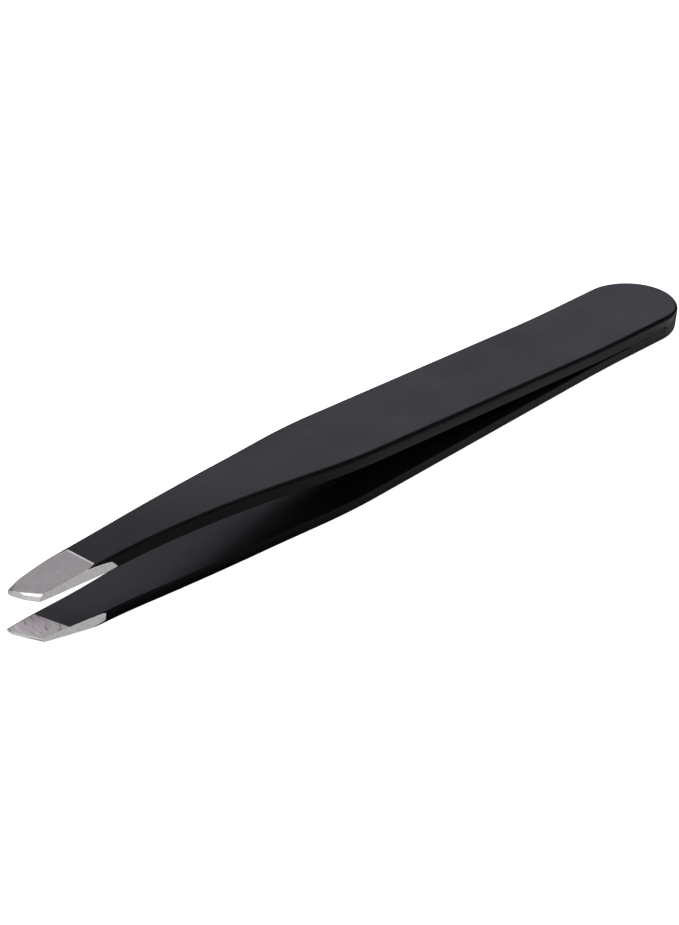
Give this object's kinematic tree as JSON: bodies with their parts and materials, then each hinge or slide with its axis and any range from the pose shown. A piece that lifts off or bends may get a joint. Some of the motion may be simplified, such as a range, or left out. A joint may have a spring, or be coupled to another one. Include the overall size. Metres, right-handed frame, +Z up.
{
  "type": "slant tweezers",
  "caption": "Slim sprung steel tweezers with black coated arms, round joined butt and bare ground slanted tips, for gripping fine hairs.",
  "frame": {"origin": "centre of the bounding box, on the surface that the tweezers lie on", "axes": "+X along the tweezers towards the butt, tips towards -X; +Y across the blades, towards the long corner of the slant; +Z up, from the lower arm to the upper arm"},
  "size_m": [0.095, 0.0096, 0.007],
  "materials": {
    "black_coat": "semi-matte black coat, faintly dimpled",
    "ground_steel": "bare steel, fine grinding lines",
    "weld_steel": "ground flush and coated over"
  },
  "bodies": {
    "butt": {"butt_weld": "weld_steel", "upper_arm_root": "black_coat", "lower_arm_root": "black_coat"},
    "upper_arm": {"upper_arm": "black_coat", "upper_jaw": "black_coat", "upper_tip": "ground_steel"},
    "lower_arm": {"lower_arm": "black_coat", "lower_jaw": "black_coat", "lower_tip": "ground_steel"}
  },
  "joints": [
    {"name": "upper_arm_flex", "type": "hinge", "parent": "butt", "child": "upper_arm", "pos_m": [0.02255, 0, 0.00301], "axis": [0, -1, 0], "range_deg": [0, 1.37], "stiffness_Nm_per_rad": 3},
    {"name": "lower_arm_flex", "type": "hinge", "parent": "butt", "child": "lower_arm", "pos_m": [0.0225, 0, 0.00105], "axis": [0, 1, 0], "range_deg": [0, 1.37], "stiffness_Nm_per_rad": 3}
  ],
  "couplings": [
    {"joint": "lower_arm_flex", "follows": "upper_arm_flex", "ratio": 1}
  ]
}
